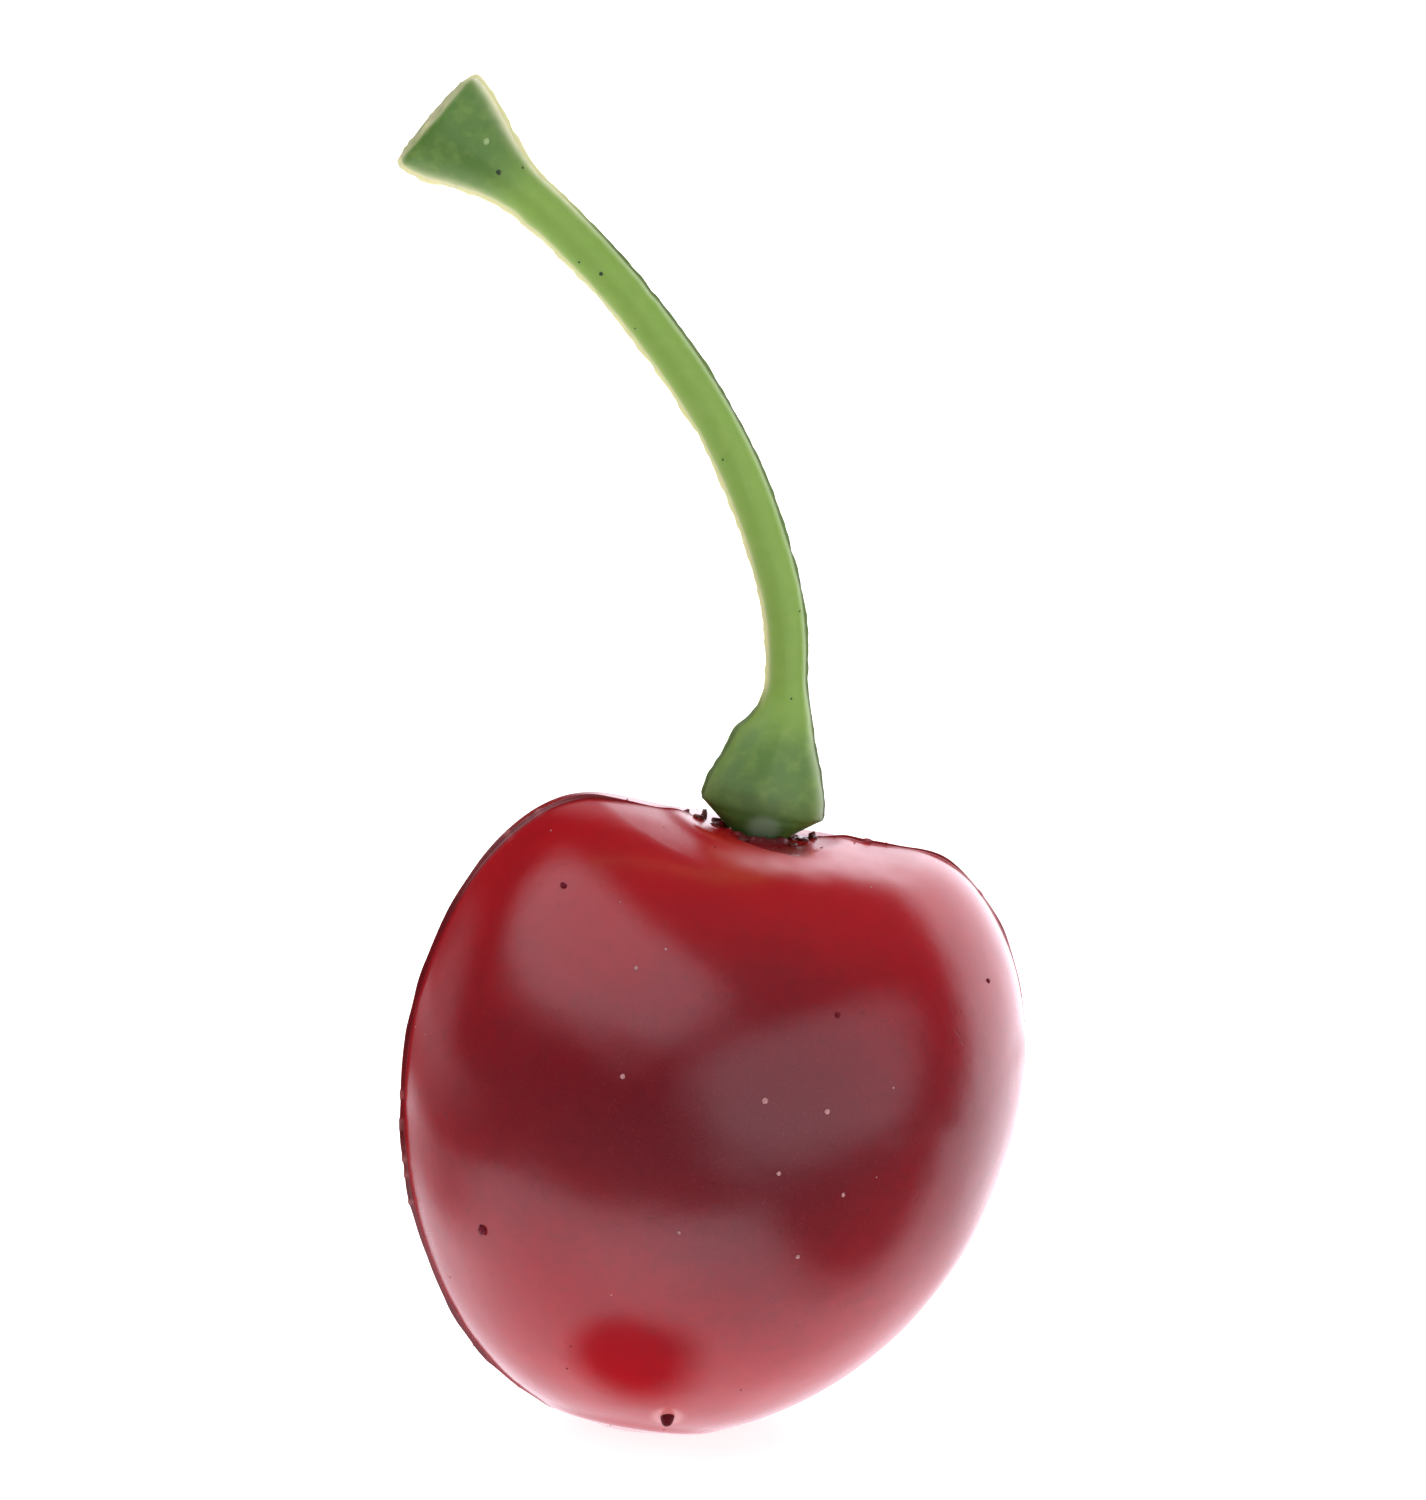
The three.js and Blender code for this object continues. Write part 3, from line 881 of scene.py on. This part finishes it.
def makeStalkMaterial():
    material = bpy.data.materials.new("stalkPlastic")
    start = startTree(material)
    place = placeInMillimetres(start)
    layer = stalkPaint["layers"]
    cloud = grain(place, stalkPaint["cloud"], 3)
    streak = grain(place, stalkPaint["streak"], 4)
    flare = mark(start, "flare")
    thick = flare + flare * (1 - flare) * 2.4 * (cloud - 0.5)
    colour = mixColours(thick, stalkPaint["shaftGreen"], stalkPaint["flareGreen"])
    colour = paintOver(colour, stalkPaint, (
        (layer["low"] * mark(start, "low") + 0.2 * (cloud - 0.5), "footGreen"),
        (mark(start, "head") * (layer["head"] + 0.8 * (streak - 0.5)), "headGreen"),
        (layer["streak"] * easeWire(streak, 0.4, 0.8), "stripGreen"),
        # painted shade at the bottom of the foot
        (layer["shadedBottom"] * mark(start, "shadedBottom"), "shadedBottomGreen"),
        (layer["plug"] * mark(start, "plug"), "plugGreen"),
        (layer["strip"] * mark(start, "strip"), "stripGreen"),
        (layer["edge"] * mark(start, "edge"), "paleFlash"),
        (layer["rim"] * mark(start, "rim"), "paleFlash"),
        (layer["edgeDark"] * mark(start, "edgeDark"), "darkFlash"),
    ))
    height = streak + 0.4 * grain(place, stalkPaint["fine"], 2)
    strength, depth = stalkPaint["relief"]
    look = {
        "Base Color": colour,
        "Roughness": stalkPaint["roughness"] + 0.16 * (streak - 0.5) + 0.1 * (cloud - 0.5),
        "IOR": 1.49,
        "Subsurface Weight": 0.3,
        "Subsurface Radius": (0.6, 1, 0.2),
        "Subsurface Scale": 0.0009,
    }
    finishMaterial(start, look, {"Height": height, "Strength": strength, "Distance": depth * mm})
    return material


stalkMaterial = makeStalkMaterial()
stalkPoints, stalkRings, stalkMarks = makeStalkPoints()
stalkFaces = skinFaces(stalkRings, stalk["columns"], upwards=True)
stalkPiece = makePiece("stalkMoulding", stalkMaterial, stalkPoints, stalkFaces, stalkMarks)
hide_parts("stalk")
print("stalk ready", len(stalkFaces))

# The small things that stick to both: dust, drops and torn crumbs.

grit = {
    "seed": 7,
    # across and up the view, size
    "paleSpecks": (
        (-1.6, 18.0, 0.1), (-2.14, 13.63, 0.11), (3.6, 12.65, 0.13), (6.1, 12.22, 0.12),
        (4.15, 9.72, 0.09), (6.75, 8.86, 0.1), (0.13, 7.34, 0.08), (4.91, 6.36, 0.09),
    ),
    "darkSpecks": ((-4.53, 21.33, 0.17), (-7.78, 7.45, 0.22), (6.53, 16.12, 0.13), (12.6, 17.5, 0.12)),
    "stalkSpecks": ((-3.02, 46.0, 0.08), (-7.15, 50.1, 0.11), (1.9, 38.5, 0.05)),
    "gateMark": (-7.65, 51.35, 0.14),
    "bead": (0.34, 0.4),  # radius and height
    "tallness": {"fruit": 0.7, "stalk": 0.6, "stalkDust": 0.5, "gateMark": 0.5},  # height for its size
    "dustSizes": (0.025, 0.06),
    "fruitDust": 40,  # of each tone
    "stalkDust": 9,
    # angle in degrees and distance from the hole's middle, width and height
    "crumbs": (
        (176, 2.25, 0.13, 0.36), (183, 2.95, 0.14, 0.14), (189, 2.55, 0.24, 0.1), (168, 1.75, 0.2, 0.16),
        (198, 1.8, 0.28, 0.1), (4, 2.2, 0.2, 0.24), (-14, 1.9, 0.28, 0.1), (-38, 1.8, 0.24, 0.07),
        (55, 1.8, 0.2, 0.14), (115, 1.85, 0.22, 0.2), (250, 1.75, 0.26, 0.08),
    ),
    # colour, roughness, index of refraction
    "finishes": {
        "paleGrit": ((0.6, 0.27, 0.28), 0.45, 1.45),
        "darkGrit": ((0.17, 0.008, 0.02), 0.5, 1.2),
        "driedPaint": ((0.13, 0.003, 0.01), 0.4, 1.22),
        "tornPlastic": ((0.13, 0.018, 0.012), 0.38, 1.45),
        "darkStalkGrit": ((0.03, 0.06, 0.02), 0.5, 1.45),
        "paleStalkGrit": ((0.36, 0.5, 0.2), 0.4, 1.45),
    },
    "mottle": 0.09,
    "relief": (0.4, 0.02),  # strength, and depth in millimetres
    # slot, finish, fineness of each ball, and how rugged it is
    "pieces": {
        "paleSpecks": ("fruit_skin", "paleGrit", 2, 0.25),
        "darkSpecks": ("fruit_skin", "darkGrit", 2, 0.35),
        "bead": ("fruit_skin", "driedPaint", 4, 0.06),
        "tornCrumbs": ("fruit_skin", "tornPlastic", 3, 0.6),
        "stalkSpecks": ("stalk_green", "darkStalkGrit", 2, 0.35),
        "gateMark": ("stalk_green", "paleStalkGrit", 4, 0.15),
    },
}
chance = random.Random(grit["seed"])
stalkTree = BVHTree.FromPolygons((stalkPoints * mm).tolist(), stalkFaces)


def besideHole(degrees, distance):  # a point of the fruit round the hole, and the way up
    angle = math.radians(degrees)
    above = standing(np.array([distance * math.cos(angle), distance * math.sin(angle), 3.0]))
    down = placing.to_3x3() @ Vector((0, 0, -1))
    return fruitTree.ray_cast(Vector(above) * mm, down)[0], -down


def seenSpecks(tree, specks, tallness):  # each in its own place on the side that the camera sees
    return [(facingSpot(tree, across, rise), size, tallness * size) for across, rise, size in specks]


def dust(tree, points, count, tallness):  # scattered all over
    spots = []
    for _ in range(count):
        size = chance.uniform(*grit["dustSizes"])
        corner = Vector(points[chance.randrange(len(points))]) * mm
        outside = corner + Vector([chance.uniform(-1, 1) for _ in range(3)]) * mm
        spots.append((tree.find_nearest(outside)[:2], size, tallness * size))
    return spots


def ballParts(divisions):
    form = bmesh.new()
    bmesh.ops.create_icosphere(form, subdivisions=divisions, radius=1)
    form.verts.ensure_lookup_table()
    points = np.array([corner.co[:] for corner in form.verts])
    faces = [[corner.index for corner in face.verts] for face in form.faces]
    form.free()
    return points, faces


def makeGritMaterial(name, colour, roughness, refraction):
    material = bpy.data.materials.new(name)
    start = startTree(material)
    mottle = grain(placeInMillimetres(start), grit["mottle"], 3)
    darker = tuple(0.55 * part for part in colour)
    strength, depth = grit["relief"]
    look = {
        "Base Color": mixColours(easeWire(mottle, 0.35, 0.7), colour, darker),
        "Roughness": roughness + 0.2 * (mottle - 0.5),
        "IOR": refraction,
    }
    finishMaterial(start, look, {"Height": mottle, "Strength": strength, "Distance": depth * mm})
    return material


def makeLumps(name, spots):  # each spot has its place and normal, width and height
    slotName, finish, divisions, ruggedness = grit["pieces"][name]
    material = makeGritMaterial(finish, *grit["finishes"][finish])
    ball, ballFaces = ballParts(divisions)
    points, faces = [], []
    for index, ((place, normal), width, height) in enumerate(spots):
        shape = ball * (1 + ruggedness * wobble(ball, 0.8, 50.3 + 1.7 * index))[:, None]
        shape = shape * (width, width * chance.uniform(0.75, 1.1), height)
        spin = Matrix.Rotation(chance.uniform(0, 2 * math.pi), 3, "Z")
        turn = normal.to_track_quat("Z", "Y").to_matrix() @ spin
        faces += [[corner + index * len(ball) for corner in face] for face in ballFaces]
        points.append(shape @ np.array(turn).T + np.array(place) / mm)
    makePiece(name, material, np.vstack(points), faces)


def makeGrit():
    tall = grit["tallness"]
    onFruit = {}
    for tone in ("paleSpecks", "darkSpecks"):
        onFruit[tone] = seenSpecks(fruitTree, grit[tone], tall["fruit"])
        onFruit[tone] += dust(fruitTree, fruitPoints, grit["fruitDust"], tall["fruit"])
    for tone, specks in onFruit.items():
        makeLumps(tone, specks)
    makeLumps("bead", [(beadSpot, *grit["bead"])])
    crumbs = [(besideHole(*where), width, height) for *where, width, height in grit["crumbs"]]
    makeLumps("tornCrumbs", crumbs)
    onStalk = seenSpecks(stalkTree, grit["stalkSpecks"], tall["stalk"])
    onStalk += dust(stalkTree, stalkPoints, grit["stalkDust"], tall["stalkDust"])
    makeLumps("stalkSpecks", onStalk)
    makeLumps("gateMark", seenSpecks(stalkTree, [grit["gateMark"]], tall["gateMark"]))


makeGrit()
print("specks and crumbs ready")
